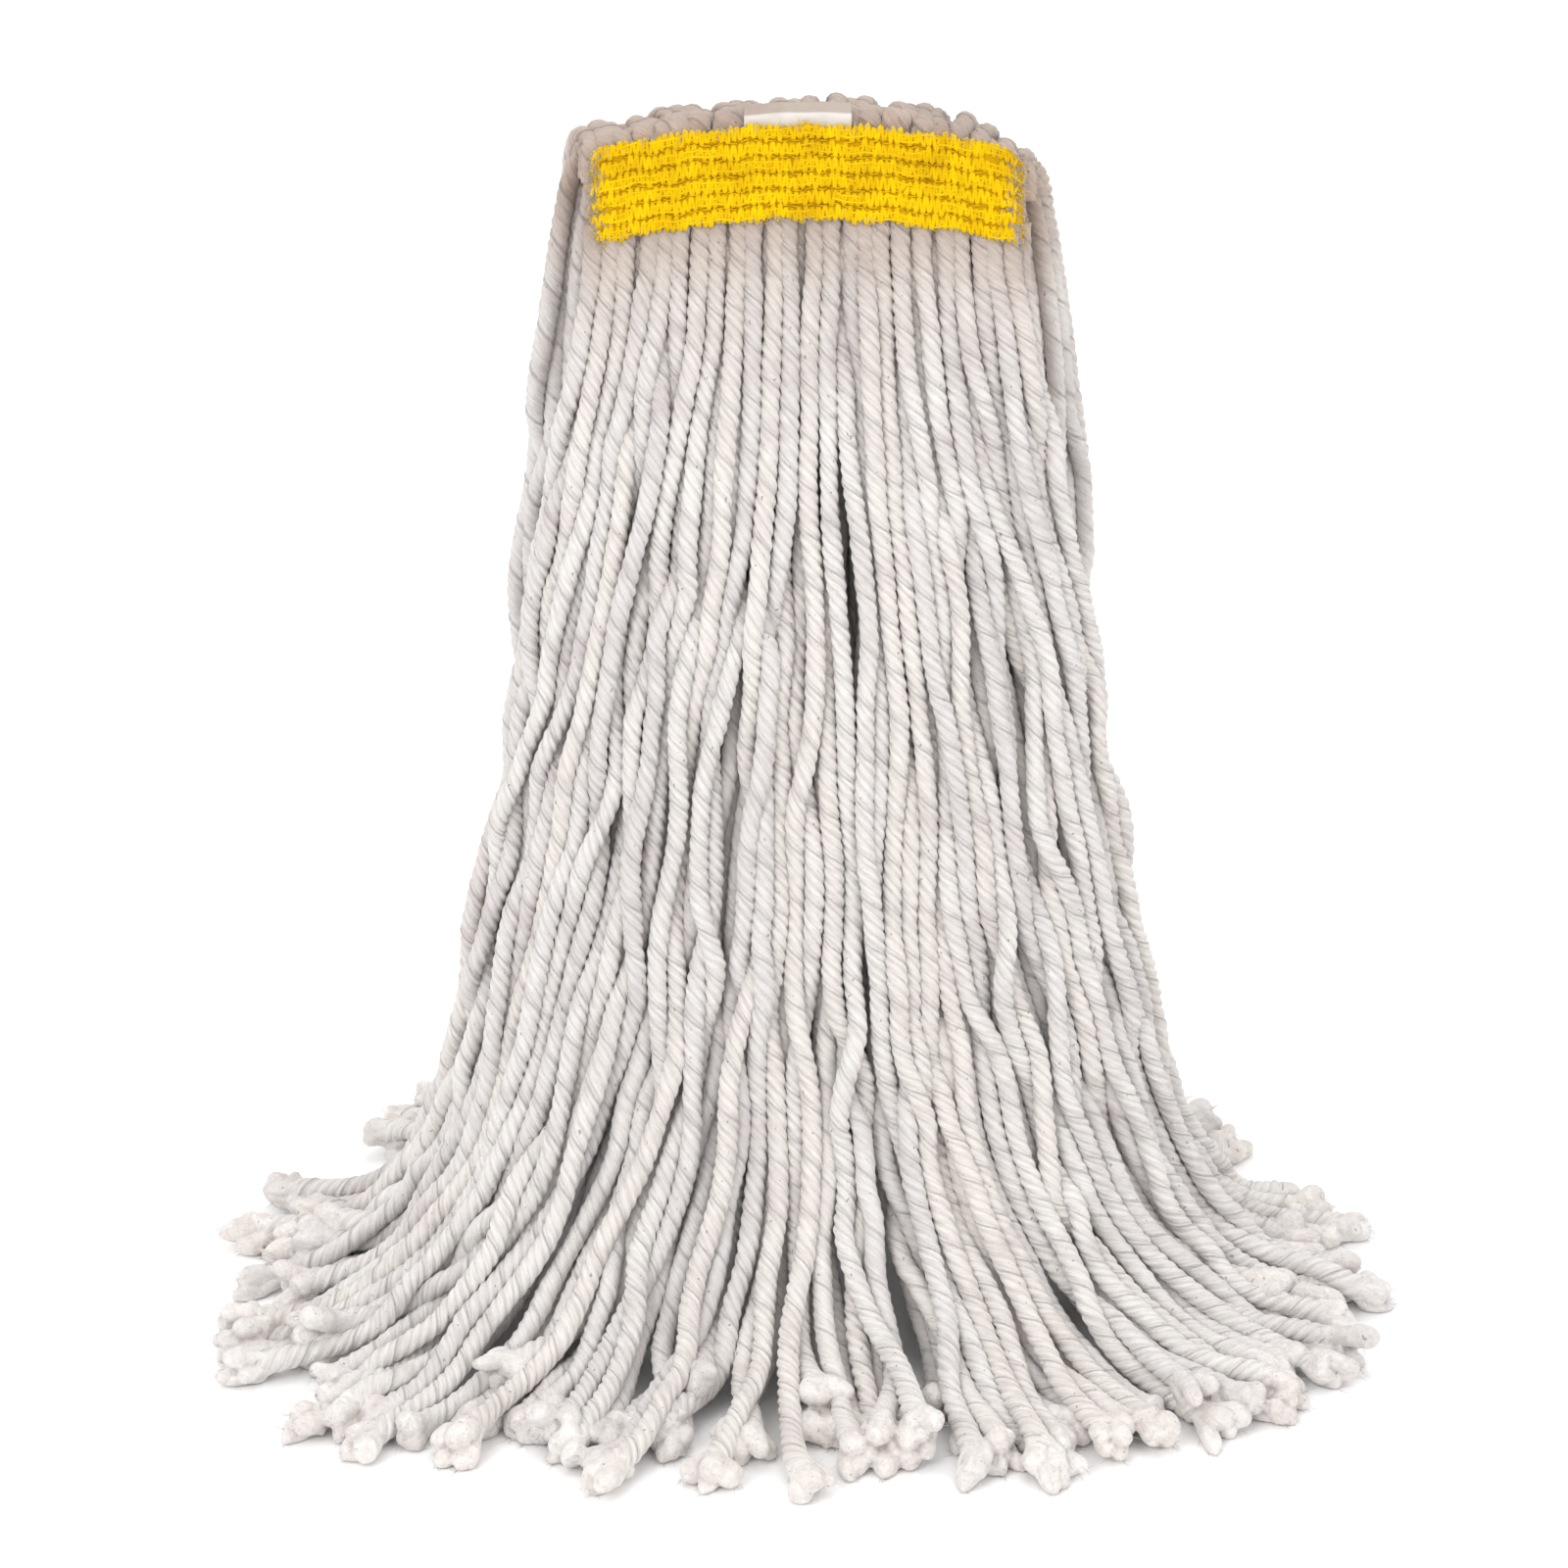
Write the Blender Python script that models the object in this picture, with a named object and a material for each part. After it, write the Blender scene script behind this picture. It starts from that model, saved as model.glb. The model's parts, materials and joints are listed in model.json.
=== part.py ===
"""Cut-end string mop head, standing on its spread strands.

Two mesh tapes are sewn to both faces of a mat of cotton yarn. Half of each yarn hangs from the lower
edge of the tapes, in front. The other half folds over the top edge and hangs behind. Metres, +Z up.
The front of the head faces -Y, and the origin is on the floor under the middle of the spread.
"""

import math

import bpy
import numpy as np
from mathutils import Matrix, Vector

# Sewn head
HEAD_Y = 0.012  # mid plane of the sewn yarn mat
HEAD_Z = 0.392  # middle of the tape's height, at x = 0
BAND_WIDTH = 0.144
BAND_HEIGHT = 0.032
BAND_DROOP = 0.009  # how far the tape's two ends hang below its middle
HEAD_STEPS = 12  # straight pieces along the head's arch
MAT_HALF = 0.007  # half the thickness of the sewn yarn between the tapes
TAPE_GAP = 0.001
TAPE_THICK = 0.0022
TAPE_RIBS = 6
GROOVE_WIDTH = 0.0018
GROOVE_DEPTH = 0.0013
SEAM_DIAMETER = 0.0008
SEAM_INSET = 0.012  # first and last stitch to the tape's ends
MAT_SHORT = 0.0005  # how far the mat stays inside the tape's lower edge and ends

# Yarn folded over the top edge
FOLD_RISE = 0.007  # top of the fold above the tape
FOLD_REACH = 0.0323  # back of the fold behind the mat's mid plane
FOLD_SLOT = 0.0125  # front face of the fold's rear leg
FOLD_SPRING = 0.013  # height above the band's middle where the fold starts to curve
LEG_BOTTOM = 0.0095  # lower end of the rear leg above the band's middle
TAPE_CLEAR = 0.0006

# Label tag tucked behind the front tape
TAG_X = -0.003
TAG_WIDTH = 0.035
TAG_THICK = 0.0005
TAG_ABOVE = 0.0055
TAG_BELOW = 0.008

# Strand locks
LOCK_DIAMETER = 0.0096
HINGE_DROP = 0.0065  # hinge line below the edge that the strands leave
FRONT_OUTER_Y = -0.0051  # from the mat's mid plane
FRONT_INNER_Y = 0.0051
REAR_INNER_Y = 0.0173
REAR_OUTER_Y = 0.0275
SECTIONS = 3  # left, centre and right
OUTER_COLUMNS = 4  # in each section
INNER_COLUMNS = 3
COLUMN_PITCH = 0.012
SECTION_WIDTH = OUTER_COLUMNS * COLUMN_PITCH
POINT_SPACING = 0.024

# Spread of the strands. Half axes of the outlines that they pass through, about the origin.
SPREAD_POWER = 0.8
WAIST_Z = 0.105
WAIST_HALF_X = 0.118
FRONT_WAIST_Y = -0.046
REAR_WAIST_Y = 0.080
END_HALF_X = 0.205
FRONT_REACH_Y = 0.1670  # reached by the two locks beside the middle
REAR_REACH_Y = 0.1672
REAR_END_HALF_X = 0.176
FRONT_TURN = math.radians(93)  # heading of the outermost front strand, from straight ahead
REAR_TURN = math.radians(66)
INNER_WAIST = 0.58
INNER_END = 0.70
KNEE_Z = 0.042
CONTACT_RISE = 0.003

YELLOW = (0.92, 0.60, 0.0)
YARN_WHITE = (0.80, 0.77, 0.73)
THREAD_YELLOW = (0.80, 0.50, 0.02)
TAG_WHITE = (0.88, 0.88, 0.88)


def clear_scene():
    for obj in list(bpy.data.objects):
        bpy.data.objects.remove(obj, do_unlink=True)


def cloth_material(name, color, roughness):
    mat = bpy.data.materials.new(name)
    mat.use_nodes = True
    shader = mat.node_tree.nodes["Principled BSDF"]
    shader.inputs["Base Color"].default_value = (*color, 1.0)
    shader.inputs["Roughness"].default_value = roughness
    shader.inputs["Metallic"].default_value = 0.0
    return mat


def add_object(name, data, material):
    obj = bpy.data.objects.new(name, data)
    obj.data.materials.append(material)
    bpy.context.scene.collection.objects.link(obj)
    return obj


def arch(x):
    """How far the head hangs below its middle at this x."""
    return -BAND_DROOP * (x / (BAND_WIDTH / 2)) ** 2


def arch_slope(x):
    return -2 * BAND_DROOP * x / (BAND_WIDTH / 2) ** 2


def arched_solid(name, profile, x_from, x_to, material):
    """A closed outline of (y, z), from the mid plane and the band's middle, carried along the arch."""
    steps = max(2, round(HEAD_STEPS * (x_to - x_from) / BAND_WIDTH))
    vertices = []
    for x in np.linspace(x_from, x_to, steps + 1):
        vertices += [(x, HEAD_Y + y, HEAD_Z + z + arch(x)) for y, z in profile]
    count = len(profile)
    faces = [list(range(count)), list(range(steps * count, (steps + 1) * count))[::-1]]
    for step in range(steps):
        a = step * count
        b = a + count
        for i in range(count):
            j = (i + 1) % count
            faces.append([a + i, b + i, b + j, a + j])
    mesh = bpy.data.meshes.new(name)
    mesh.from_pydata(vertices, [], faces)
    mesh.update()
    obj = add_object(name, mesh, material)
    face_outwards(mesh)
    mesh.shade_smooth()
    mesh.set_sharp_from_angle(angle=math.radians(35))
    return obj


def face_outwards(mesh):
    """Turns a closed mesh's faces round where it is inside out."""
    mesh.calc_loop_triangles()
    volume = 0.0
    for triangle in mesh.loop_triangles:
        a, b, c = (mesh.vertices[i].co for i in triangle.vertices)
        volume += a.dot(b.cross(c))
    if volume < 0:
        mesh.flip_normals()


def tape_profile(side):
    """Ribbed face outwards. side is -1 for the front tape and 1 for the rear one."""
    back = MAT_HALF + TAPE_GAP
    face = back + TAPE_THICK
    floor = face - GROOVE_DEPTH
    half = BAND_HEIGHT / 2
    outline = [(back, -half), (back, half), (face, half)]
    for centre in groove_heights():
        upper = centre + GROOVE_WIDTH / 2
        lower = centre - GROOVE_WIDTH / 2
        outline += [(face, upper), (floor, upper), (floor, lower), (face, lower)]
    outline.append((face, -half))
    return [(side * y, z) for y, z in outline]


def groove_heights():
    pitch = BAND_HEIGHT / TAPE_RIBS
    return [BAND_HEIGHT / 2 - pitch * (i + 1) for i in range(TAPE_RIBS - 1)]


def make_tapes(material):
    for name, side in (("head_band_front", -1), ("head_band_rear", 1)):
        arched_solid(name, tape_profile(side), -BAND_WIDTH / 2, BAND_WIDTH / 2, material)


def make_seams(material):
    """One lockstitch row in each groove, on both faces."""
    depth = MAT_HALF + TAPE_GAP + TAPE_THICK - GROOVE_DEPTH / 2
    reach = BAND_WIDTH / 2 - SEAM_INSET
    for face, side in (("front", -1), ("rear", 1)):
        for row, height in enumerate(groove_heights(), start=1):
            points = [
                Vector((x, HEAD_Y + side * depth, HEAD_Z + height + arch(x)))
                for x in np.linspace(-reach, reach, HEAD_STEPS + 1)
            ]
            tube(f"seam_{face}_{row}", points, SEAM_DIAMETER, 1, material)


def mat_profile():
    """The sewn yarn, its fold over the top edge and the short leg behind the rear tape."""
    half = BAND_HEIGHT / 2
    middle = (FOLD_REACH - MAT_HALF) / 2
    radius_y = (FOLD_REACH + MAT_HALF) / 2
    radius_z = half + FOLD_RISE - FOLD_SPRING
    outline = [(-MAT_HALF, -half + MAT_SHORT)]
    for angle in np.linspace(math.pi, 0, 11):
        y = middle + radius_y * math.cos(angle)
        outline.append((y, FOLD_SPRING + radius_z * math.sin(angle)))
    over = half + TAPE_CLEAR
    outline += [(FOLD_REACH, LEG_BOTTOM), (FOLD_SLOT, LEG_BOTTOM), (FOLD_SLOT, over)]
    outline += [(MAT_HALF, over), (MAT_HALF, -half + MAT_SHORT)]
    return outline


def make_mat(material):
    reach = BAND_WIDTH / 2 - MAT_SHORT
    arched_solid("yarn_mat_folded", mat_profile(), -reach, reach, material)


def make_tag(material):
    top = BAND_HEIGHT / 2
    middle = -(MAT_HALF + TAPE_GAP / 2)
    half = TAG_THICK / 2
    profile = [
        (middle - half, top - TAG_BELOW),
        (middle - half, top + TAG_ABOVE),
        (middle + half, top + TAG_ABOVE),
        (middle + half, top - TAG_BELOW),
    ]
    arched_solid("label_tag", profile, TAG_X - TAG_WIDTH / 2, TAG_X + TAG_WIDTH / 2, material)


def tube(name, points, diameter, resolution, material):
    curve = bpy.data.curves.new(name, "CURVE")
    curve.dimensions = "3D"
    curve.bevel_depth = diameter / 2
    curve.bevel_resolution = resolution
    curve.use_fill_caps = True
    spline = curve.splines.new("POLY")
    spline.points.add(len(points) - 1)
    for point, place in zip(spline.points, points):
        point.co = (*place, 1.0)
    spline.use_smooth = True
    return add_object(name, curve, material)


def smooth_route(knots, spacing):
    """Evenly spaced points on one smooth curve through the knots."""
    knots = np.array(knots)
    chord = np.concatenate([[0], np.cumsum(np.linalg.norm(np.diff(knots, axis=0), axis=1))])
    slopes = np.gradient(knots, chord, axis=0)
    fine = []
    for i, length in enumerate(np.diff(chord)):
        for t in np.linspace(0, 1, 24, endpoint=False):
            start = (1 + 2 * t) * (1 - t) ** 2 * knots[i] + t * (1 - t) ** 2 * length * slopes[i]
            end = t**2 * (3 - 2 * t) * knots[i + 1] + t**2 * (t - 1) * length * slopes[i + 1]
            fine.append(start + end)
    fine = np.array([*fine, knots[-1]])
    along = np.concatenate([[0], np.cumsum(np.linalg.norm(np.diff(fine, axis=0), axis=1))])
    even = np.linspace(0, along[-1], round(along[-1] / spacing) + 1)
    return [Vector([np.interp(e, along, fine[:, k]) for k in range(3)]) for e in even]


def outline_point(heading, half_x, half_y):
    """A point on a rounded outline about the origin, at a heading from straight ahead."""
    side = math.copysign(abs(math.sin(heading)) ** SPREAD_POWER, math.sin(heading))
    ahead = math.copysign(abs(math.cos(heading)) ** SPREAD_POWER, math.cos(heading))
    return np.array([half_x * side, half_y * ahead])


def lock_route(x, layer_y, start_z, front, inner):
    """Centre line of one lock: down with a slight fan to the waist, then out along the floor."""
    radius = LOCK_DIAMETER / 2
    columns = OUTER_COLUMNS * SECTIONS
    column = 2 * x / (COLUMN_PITCH * (columns - 1))
    root = np.array([x, HEAD_Y + layer_y])
    turn = FRONT_TURN if front else REAR_TURN
    waist_y = FRONT_WAIST_Y if front else REAR_WAIST_Y
    end_x = END_HALF_X if front else REAR_END_HALF_X
    reach_y = -FRONT_REACH_Y if front else REAR_REACH_Y
    end_y = reach_y / math.cos(turn / (columns - 1)) ** SPREAD_POWER
    waist = outline_point(column * turn, WAIST_HALF_X, waist_y)
    end = outline_point(column * turn, end_x, end_y)
    if inner:
        end = waist + (end - waist) * INNER_END
        waist = root + (waist - root) * INNER_WAIST
    middle_z = (start_z + WAIST_Z) / 2
    knots = [
        (*root, start_z),
        (*(root + 0.05 * (waist - root)), start_z - 0.03),
        (*(root + 0.42 * (waist - root)), middle_z),
        (*waist, WAIST_Z),
        (*(waist + 0.30 * (end - waist)), KNEE_Z),
        (*(waist + 0.64 * (end - waist)), radius + CONTACT_RISE),
        (*end, radius),
    ]
    route = smooth_route(knots, POINT_SPACING)
    for point in route:
        point.z = max(point.z, radius)
    return route


def hinge_line(section, front):
    """A point on the section's hinge and the hinge's direction along the arch."""
    x = section * SECTION_WIDTH
    edge = -BAND_HEIGHT / 2 if front else LEG_BOTTOM
    y = FRONT_OUTER_Y if front else REAR_OUTER_Y
    place = Vector((x, HEAD_Y + y, HEAD_Z + edge + arch(x) - HINGE_DROP))
    return place, Vector((1.0, 0.0, arch_slope(x))).normalized()


def make_section(side_name, section_name, section, material):
    """Seven locks under an empty on their hinge line."""
    front = side_name == "front"
    place, direction = hinge_line(section, front)
    empty = bpy.data.objects.new(f"hinge_{side_name}_{section_name}", None)
    tilt = Vector((1.0, 0.0, 0.0)).rotation_difference(direction)
    empty.matrix_world = Matrix.LocRotScale(place, tilt, None)
    bpy.context.scene.collection.objects.link(empty)
    layers = {
        "outer": (OUTER_COLUMNS, FRONT_OUTER_Y if front else REAR_OUTER_Y),
        "inner": (INNER_COLUMNS, FRONT_INNER_Y if front else REAR_INNER_Y),
    }
    for layer, (count, layer_y) in layers.items():
        for number in range(count):
            x = place.x + (number - (count - 1) / 2) * COLUMN_PITCH
            start_z = place.z + (x - place.x) * direction.z / direction.x
            route = lock_route(x, layer_y, start_z, front, layer == "inner")
            name = f"lock_{side_name}_{section_name}_{layer}_{number + 1}"
            lock = tube(name, route, LOCK_DIAMETER, 2, material)
            lock.parent = empty
            lock.matrix_parent_inverse = empty.matrix_world.inverted()


def main():
    clear_scene()
    yellow = cloth_material("yellow_mesh_tape", YELLOW, 0.8)
    yarn = cloth_material("cotton_yarn", YARN_WHITE, 0.95)
    make_tapes(yellow)
    make_seams(cloth_material("seam_thread", THREAD_YELLOW, 0.7))
    make_mat(yarn)
    make_tag(cloth_material("tag_cloth", TAG_WHITE, 0.6))
    for side_name in ("front", "rear"):
        for section_name, section in (("left", -1), ("centre", 0), ("right", 1)):
            make_section(side_name, section_name, section, yarn)


main()
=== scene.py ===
import itertools
import json
import math

import bpy
import numpy as np
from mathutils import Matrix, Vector


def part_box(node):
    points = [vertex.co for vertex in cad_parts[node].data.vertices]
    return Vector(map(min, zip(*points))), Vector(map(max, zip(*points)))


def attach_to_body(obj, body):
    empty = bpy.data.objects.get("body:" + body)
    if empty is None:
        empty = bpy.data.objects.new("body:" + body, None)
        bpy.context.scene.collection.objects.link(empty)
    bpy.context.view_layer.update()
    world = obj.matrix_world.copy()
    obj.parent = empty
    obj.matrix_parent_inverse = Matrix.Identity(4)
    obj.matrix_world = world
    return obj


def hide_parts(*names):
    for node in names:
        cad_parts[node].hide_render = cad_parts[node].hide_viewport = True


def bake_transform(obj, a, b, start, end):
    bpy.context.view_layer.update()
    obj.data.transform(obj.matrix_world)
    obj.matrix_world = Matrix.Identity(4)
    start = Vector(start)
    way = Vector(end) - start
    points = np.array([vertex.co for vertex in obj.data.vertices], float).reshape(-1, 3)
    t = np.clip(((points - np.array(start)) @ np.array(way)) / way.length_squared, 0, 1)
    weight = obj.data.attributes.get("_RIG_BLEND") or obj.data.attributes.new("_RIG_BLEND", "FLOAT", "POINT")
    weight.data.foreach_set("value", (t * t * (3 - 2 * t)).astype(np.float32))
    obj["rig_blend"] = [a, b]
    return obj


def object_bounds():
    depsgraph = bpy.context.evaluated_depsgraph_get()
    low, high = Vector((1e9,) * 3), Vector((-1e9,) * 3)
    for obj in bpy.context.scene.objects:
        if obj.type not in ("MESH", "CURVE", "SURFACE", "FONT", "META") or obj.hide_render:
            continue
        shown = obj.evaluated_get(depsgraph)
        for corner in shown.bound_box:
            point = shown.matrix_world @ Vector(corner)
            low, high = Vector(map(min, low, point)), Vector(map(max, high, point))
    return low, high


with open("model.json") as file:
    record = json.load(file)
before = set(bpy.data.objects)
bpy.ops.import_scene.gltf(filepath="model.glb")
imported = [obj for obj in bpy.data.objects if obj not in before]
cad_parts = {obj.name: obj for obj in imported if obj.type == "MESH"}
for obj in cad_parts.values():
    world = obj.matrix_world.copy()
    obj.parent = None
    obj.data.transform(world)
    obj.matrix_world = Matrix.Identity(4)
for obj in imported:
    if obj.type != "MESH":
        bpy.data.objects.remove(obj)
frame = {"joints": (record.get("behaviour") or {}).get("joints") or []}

CAD_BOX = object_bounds()
rng = np.random.default_rng(24)

# ---------------------------------------------------------------- the head's place, from the frame

FRONT_LO, FRONT_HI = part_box("head_band_front")
BAND_HALF = FRONT_HI.x
BAND_HEIGHT = 0.032
DROOP = FRONT_HI.z - FRONT_LO.z - BAND_HEIGHT
BAND_TOP = FRONT_HI.z
BAND_BOTTOM = BAND_TOP - BAND_HEIGHT
BAND_MIDDLE = BAND_TOP - BAND_HEIGHT / 2
FRONT_FACE = FRONT_LO.y
REAR_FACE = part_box("head_band_rear")[1].y
HEAD_Y = (FRONT_FACE + REAR_FACE) / 2
CAD_LO, CAD_HI = CAD_BOX
FLOOR_GAP = 0.0002  # no surface reaches lower than this
WALL_GAP = 0.001  # yarns' middles stay this far inside the CAD's sides

# Yarn
YARN = 0.0068  # diameter of a relaxed yarn
LAY_LENGTH = 0.0172  # length of one full turn of the plies
PLIES = 4
COLUMNS = 24
LAYERS = 5
SIDES = ("front", "rear")
SECTIONS = ("left", "centre", "right")
CORDS_PER_SECTION = 6  # yarns made one by one as their own objects, the rest being joined by layer
COLUMN_SPAN = 0.965  # share of the tape's width that the columns take
PITCH = 2 * BAND_HALF * COLUMN_SPAN / (COLUMNS - 1)
COLUMN_X = (np.arange(COLUMNS) - (COLUMNS - 1) / 2) * PITCH
NODES = 88  # simulated points on each half yarn
PINNED = 6  # how many of them the head holds

# Spread, the same outlines as the CAD locks follow
WAIST_POWERS = (0.8, 0.8)  # how square the outline's right and left are: less is squarer
WAIST_Z = 0.105
WAIST_HALF_X = 0.1155
WAIST_Y = {"front": -0.050, "rear": 0.083}
END_HALF_X = {"front": 0.200, "rear": 0.172}
REACH = {"front": -0.163, "rear": 0.163}
TURN = {"front": math.radians(92), "rear": math.radians(66)}
END_POWERS = {"front": (0.66, 0.55), "rear": (0.66, 0.66)}
KNEE_Z = 0.042
LAYER_WAIST = (1.0, 0.98, 0.94, 0.88, 0.76)  # how far out each layer hangs, outermost first
LAYER_SHIFT = (0.0, 0.5, 0.25, -0.25, 0.12)  # in columns, so that layers fill each other's gaps lower down
LAYER_SHADE = (0.0, 0.10, 0.40, 0.50, 0.50)  # how much painted shade each layer gets above the knee, on the front side only
LAYER_END = (1.0, 0.97, 0.92, 0.86, 0.76)  # how far its cut ends reach
LAYER_POP = (0.0, 1.0, 0.25, 0.0, 0.0)  # how far a layer's yarns may slip out between those over them
STRAY = 10  # the column whose outermost front yarn ends in a hook, ahead of the others

# Knitted tape
RIBS = 6
RIB_PITCH = BAND_HEIGHT / RIBS
RIB_RELIEF = 0.0009  # how far a rib stands above the grooves beside it
STITCH = 0.00106  # half the length of one knitted loop along the tape
LOOP_HEIGHT = 0.00235  # how far the winding thread swings from its rib's middle
LOOP_THREAD = 0.00068  # radius of the winding thread
LAID_THREAD = 0.00036  # radius of the threads laid along the ribs
LAID_PIECES = 9
SEAM_STITCH = 0.0042  # length of one lockstitch
SEAM_THREAD = 0.00032  # radius of its thread


# ---------------------------------------------------------------- small helpers

def arch(x):
    """How far the head hangs below its middle at this x."""
    return -DROOP * (x / BAND_HALF) ** 2


def clamp(values):
    return np.clip(values, 0, 1)


def lerp(a, b, t):
    return a + (b - a) * t


def ease(t):
    return t * t * (3 - 2 * t)


def unit(vectors):
    return vectors / np.linalg.norm(vectors, axis=-1, keepdims=True)


def point_gaps(lines):
    """Distances between neighbouring points on each line."""
    return np.linalg.norm(np.diff(lines, axis=-2), axis=-1)


def line_lengths(lines):
    return point_gaps(lines).sum(axis=-1)


def way_along(lines):
    """How far along its line each point is."""
    gaps = point_gaps(lines)
    return np.concatenate([np.zeros_like(gaps[..., :1]), np.cumsum(gaps, axis=-1)], axis=-1)


def on_floor(points, gap=FLOOR_GAP):
    """Lifts the points that are below the gap up to it."""
    points[..., 2] = np.maximum(points[..., 2], gap)
    return points


def add_object(name, data):
    obj = bpy.data.objects.new(name, data)
    bpy.context.scene.collection.objects.link(obj)
    return obj


def attach(piece, body, slot, *nodes):
    """Gives a stiff piece its body and the nodes that it stands for. The slot is not used."""
    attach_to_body(piece, body)
    if nodes:
        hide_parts(*nodes)


# ---------------------------------------------------------------- camera, light and floor

def make_camera():
    """20 degrees above the horizon, straight in front, with the mop filling the frame's height."""
    camera = add_object("camera", bpy.data.cameras.new("camera"))
    distance, elevation = 1.25, math.radians(20)
    target = Vector((-0.0075, 0.0, 0.181))
    back = Vector((0, -math.cos(elevation), math.sin(elevation)))
    camera.location = target + distance * back
    camera.rotation_euler = (math.pi / 2 - elevation, 0, 0)
    camera.data.sensor_width = 36
    camera.data.lens = 83.2
    bpy.context.scene.camera = camera


def area_light(name, place, aim, size, power):
    light = add_object(name, bpy.data.lights.new(name, "AREA"))
    light.data.shape = "DISK"
    light.data.size = size
    light.data.energy = power
    light.location = place
    light.rotation_euler = (Vector(aim) - Vector(place)).to_track_quat("-Z", "Y").to_euler()


def make_studio():
    area_light("key", (-1.0, -1.7, 1.5), (0, 0, 0.15), 1.0, 16)
    area_light("fill", (1.5, -1.4, 0.9), (0, 0, 0.2), 1.2, 5)
    area_light("top", (0.1, 0.3, 2.1), (0, 0, 0.1), 1.2, 6)
    world = bpy.data.worlds.new("studio")
    world.use_nodes = True
    background = world.node_tree.nodes["Background"]
    background.inputs["Color"].default_value = (1.0, 1.0, 1.0, 1)
    background.inputs["Strength"].default_value = 1.02
    bpy.context.scene.world = world
    bpy.context.scene.view_settings.view_transform = "Standard"


def make_floor():
    half = 9.0
    corners = [(-half, -half, 0), (half, -half, 0), (half, half, 0), (-half, half, 0)]
    material, _ = new_material("pale_floor", (0.985, 0.985, 0.985), 0.8)
    add_mesh("floor", corners, [(0, 1, 2, 3)], material)


# ---------------------------------------------------------------- materials

def new_material(name, color, roughness):
    material = bpy.data.materials.new(name)
    material.use_nodes = True
    shader = material.node_tree.nodes["Principled BSDF"]
    shader.inputs["Base Color"].default_value = (*color, 1)
    shader.inputs["Roughness"].default_value = roughness
    shader.inputs["Specular IOR Level"].default_value = 0.2
    return material, shader


class Graph:
    """A new material, with short names for adding nodes to it."""

    def __init__(self, name, color, roughness):
        self.material, self.shader = new_material(name, color, roughness)
        self.tree = self.material.node_tree
        self.place = self.add("TexCoord").outputs["Object"]

    def add(self, kind, inputs=None, **settings):
        """A node with these settings. An input is a constant or another node's output."""
        node = self.tree.nodes.new("ShaderNode" + kind)
        for key, value in settings.items():
            setattr(node, key, value)
        for key, value in (inputs or {}).items():
            if hasattr(value, "is_output"):
                self.tree.links.new(value, node.inputs[key])
            else:
                node.inputs[key].default_value = value
        return node

    def math(self, operation, a, b):
        return self.add("Math", {0: a, 1: b}, operation=operation).outputs[0]

    def attribute(self, name):
        return self.add("Attribute", attribute_name=name).outputs["Fac"]

    def noise(self, vector, scale, detail=2.0, roughness=0.5, distortion=0.0):
        numbers = {"Scale": scale, "Detail": detail, "Roughness": roughness, "Distortion": distortion}
        return self.add("TexNoise", {"Vector": vector, **numbers}).outputs["Fac"]

    def scaled(self, vector, scale):
        return self.add("Mapping", {"Vector": vector, "Scale": scale}).outputs["Vector"]

    def ramp(self, factor, stops):
        node = self.add("ValToRGB", {"Fac": factor})
        elements = node.color_ramp.elements
        while len(elements) < len(stops):
            elements.new(0.5)
        for element, (place, color) in zip(elements, stops):
            element.position = place
            element.color = (*color, 1)
        return node.outputs["Color"]

    def mix(self, factor, a, b, blend="MIX"):
        settings = {"data_type": "RGBA", "blend_type": blend}
        return self.add("Mix", {"Factor": factor, "A": a, "B": b}, **settings).outputs["Result"]

    def times(self, color, other, share=1.0):
        return self.mix(share, color, other, "MULTIPLY")

    def stain_and_painted_shade(self, color, mask, strength, stain_and_shade_color):
        """The colour, turned towards another colour where the mask says: used for real stains such as seed
        specks, and for painted shade in crevices, grooves and holes.
        """
        return self.mix(self.math("MULTIPLY", mask, strength), color, (*stain_and_shade_color, 1))

    def surface(self, color, height, strength, distance):
        """Gives the shader this colour and a bump, and returns the finished material."""
        bump = self.add("Bump", {"Height": height, "Strength": strength, "Distance": distance})
        self.tree.links.new(color, self.shader.inputs["Base Color"])
        self.tree.links.new(bump.outputs["Normal"], self.shader.inputs["Normal"])
        return self.material


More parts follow.
